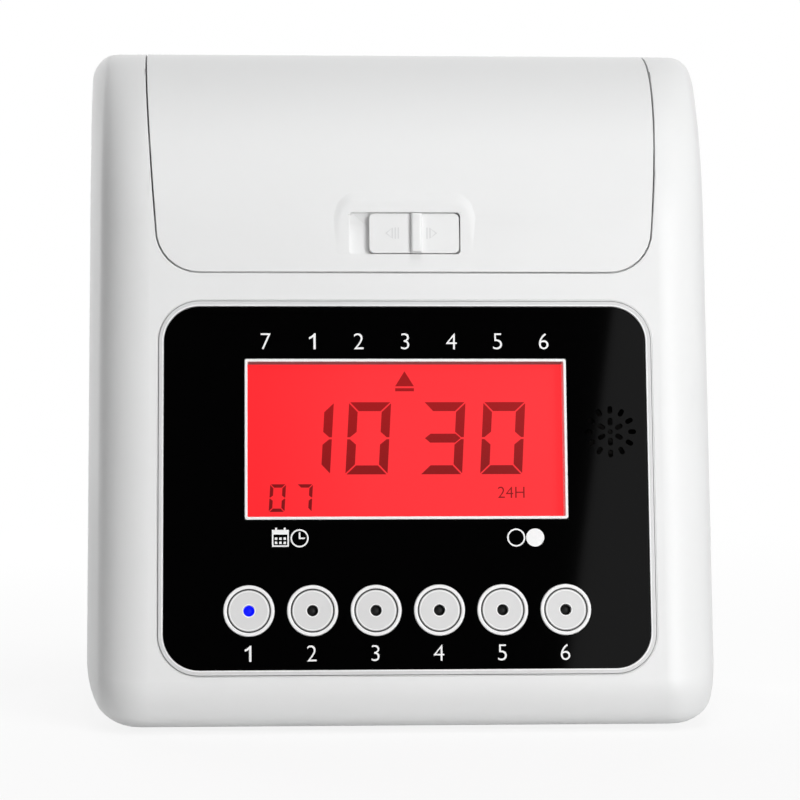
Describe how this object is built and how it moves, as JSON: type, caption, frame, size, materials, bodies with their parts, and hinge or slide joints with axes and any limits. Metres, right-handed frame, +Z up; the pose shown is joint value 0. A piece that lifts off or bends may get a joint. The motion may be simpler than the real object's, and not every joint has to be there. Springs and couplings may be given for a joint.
{
  "type": "punch card time clock",
  "caption": "Desk or wall time recorder with a leaning white case, hinged ribbon door, red display, lit keys and a top slot that feeds a card past a print carriage.",
  "frame": {"origin": "bottom centre of the case, on the surface the feet stand on", "axes": "+Z up, the front with the display faces -Y, +X to the right seen from the front"},
  "size_m": [0.213, 0.148, 0.228],
  "materials": {
    "case_white": "smooth satin white moulding",
    "cover_white": "fine matte white moulding",
    "bezel_grey": "smooth light grey trim",
    "panel_black": "glossy black sheet",
    "ring_white": "smooth white trim",
    "display_red": "lit red display pane",
    "light_guide": "milky light guide",
    "board_green": "green circuit board",
    "key_silver": "satin light grey cap",
    "lamp_blue": "lit blue lamp",
    "lamp_dark": "unlit dark lamp",
    "black_plastic": "fine matte black moulding",
    "grey_plastic": "fine matte grey moulding",
    "ivory_plastic": "plain ivory moulding",
    "steel": "drawn steel",
    "sheet_steel": "zinc plated sheet",
    "motor_grey": "grey lacquered can",
    "head_metal": "cast aluminium",
    "brass": "turned brass",
    "rubber": "matte black rubber",
    "cone_paper": "dark pressed paper",
    "cell_wrap": "green shrink sleeve",
    "knob_blue": "plain blue moulding",
    "ribbon_cloth": "inked woven ribbon"
  },
  "bodies": {
    "case": {"front_housing": "case_white", "back_cover": "cover_white", "hinge_pins": "steel", "panel_bezel": "bezel_grey", "display_panel": "panel_black", "lcd_surround": "ring_white", "lcd_glass": "display_red", "lcd_backlight": "light_guide", "display_board": "board_green", "key_rings": "ring_white", "lamp_lit": "lamp_blue", "lamps_unlit": "lamp_dark", "key_switches": "black_plastic", "speaker_basket": "motor_grey", "speaker_cone": "cone_paper", "main_board": "board_green", "board_chips": "black_plastic", "board_posts": "brass", "power_inlet": "black_plastic", "battery_cells": "cell_wrap", "battery_tray": "grey_plastic", "side_plate_left": "sheet_steel", "side_plate_right": "sheet_steel", "printer_shelf": "sheet_steel", "card_mouth": "grey_plastic", "card_guide_upper": "sheet_steel", "card_guide_lower": "sheet_steel", "card_guide_rear": "sheet_steel", "platen_strip": "rubber", "feed_motor": "motor_grey", "shaft_bushes": "ivory_plastic", "guide_rods": "steel", "drive_belt": "rubber", "carriage_motor": "motor_grey", "ribbon_cassette": "black_plastic", "ribbon_band": "ribbon_cloth", "rubber_feet": "rubber", "case_screws": "steel"},
    "door": {"ribbon_door": "case_white"},
    "latch": {"latch_slider": "case_white", "latch_bolt": "steel"},
    "carriage": {"carriage": "grey_plastic", "print_head": "head_metal"},
    "drive_pulley": {"drive_pulley": "ivory_plastic"},
    "idler_pulley": {"idler_pulley": "ivory_plastic"},
    "feed_roll": {"feed_shaft": "steel", "feed_rollers": "rubber", "feed_gear": "ivory_plastic"},
    "feed_pinion": {"feed_pinion": "brass"},
    "pinch_roll": {"pinch_shaft": "steel", "pinch_rollers": "rubber"},
    "ribbon_knob": {"ribbon_knob": "knob_blue"},
    "key_1": {"key_cap_1": "key_silver"},
    "key_2": {"key_cap_2": "key_silver"},
    "key_3": {"key_cap_3": "key_silver"},
    "key_4": {"key_cap_4": "key_silver"},
    "key_5": {"key_cap_5": "key_silver"},
    "key_6": {"key_cap_6": "key_silver"}
  },
  "joints": [
    {"name": "door_hinge", "type": "hinge", "parent": "case", "child": "door", "pos_m": [0, 0.0295, 0.222], "axis": [-1, 0, 0], "range_deg": [0, 90]},
    {"name": "latch_slide", "type": "slide", "parent": "door", "child": "latch", "axis": [-1, 0, 0], "range_m": [0, 0.0062]},
    {"name": "key_1_press", "type": "slide", "parent": "case", "child": "key_1", "axis": [0, 0.9877, -0.1564], "range_m": [0, 0.0012], "stiffness_N_per_m": 600, "springref_m": -0.0005},
    {"name": "key_2_press", "type": "slide", "parent": "case", "child": "key_2", "axis": [0, 0.9877, -0.1564], "range_m": [0, 0.0012], "stiffness_N_per_m": 600, "springref_m": -0.0005},
    {"name": "key_3_press", "type": "slide", "parent": "case", "child": "key_3", "axis": [0, 0.9877, -0.1564], "range_m": [0, 0.0012], "stiffness_N_per_m": 600, "springref_m": -0.0005},
    {"name": "key_4_press", "type": "slide", "parent": "case", "child": "key_4", "axis": [0, 0.9877, -0.1564], "range_m": [0, 0.0012], "stiffness_N_per_m": 600, "springref_m": -0.0005},
    {"name": "key_5_press", "type": "slide", "parent": "case", "child": "key_5", "axis": [0, 0.9877, -0.1564], "range_m": [0, 0.0012], "stiffness_N_per_m": 600, "springref_m": -0.0005},
    {"name": "key_6_press", "type": "slide", "parent": "case", "child": "key_6", "axis": [0, 0.9877, -0.1564], "range_m": [0, 0.0012], "stiffness_N_per_m": 600, "springref_m": -0.0005},
    {"name": "carriage_slide", "type": "slide", "parent": "case", "child": "carriage", "axis": [1, 0, 0], "range_m": [-0.028, 0.028]},
    {"name": "drive_pulley_turn", "type": "hinge", "parent": "case", "child": "drive_pulley", "pos_m": [-0.057, -0.01, 0.15], "axis": [0, 0, -1], "range_deg": [-240, 240]},
    {"name": "idler_pulley_turn", "type": "hinge", "parent": "case", "child": "idler_pulley", "pos_m": [0.057, -0.01, 0.15], "axis": [0, 0, -1], "range_deg": [-240, 240]},
    {"name": "feed_roll_turn", "type": "hinge", "parent": "case", "child": "feed_roll", "pos_m": [0, 0.0352, 0.118], "axis": [1, 0, 0], "continuous": true},
    {"name": "feed_pinion_turn", "type": "hinge", "parent": "case", "child": "feed_pinion", "pos_m": [0.079, 0.01725, 0.10589], "axis": [1, 0, 0], "continuous": true},
    {"name": "pinch_roll_turn", "type": "hinge", "parent": "case", "child": "pinch_roll", "pos_m": [0, 0.0518, 0.118], "axis": [1, 0, 0], "continuous": true},
    {"name": "ribbon_knob_turn", "type": "hinge", "parent": "case", "child": "ribbon_knob", "pos_m": [0.05, -0.02602, 0.184], "axis": [0, 0, 1], "continuous": true}
  ],
  "couplings": [
    {"joint": "drive_pulley_turn", "follows": "carriage_slide", "rad_per_m": 144.93},
    {"joint": "idler_pulley_turn", "follows": "carriage_slide", "rad_per_m": 144.93},
    {"joint": "feed_pinion_turn", "follows": "feed_roll_turn", "ratio": -2.8571},
    {"joint": "pinch_roll_turn", "follows": "feed_roll_turn", "ratio": -1.2857}
  ]
}
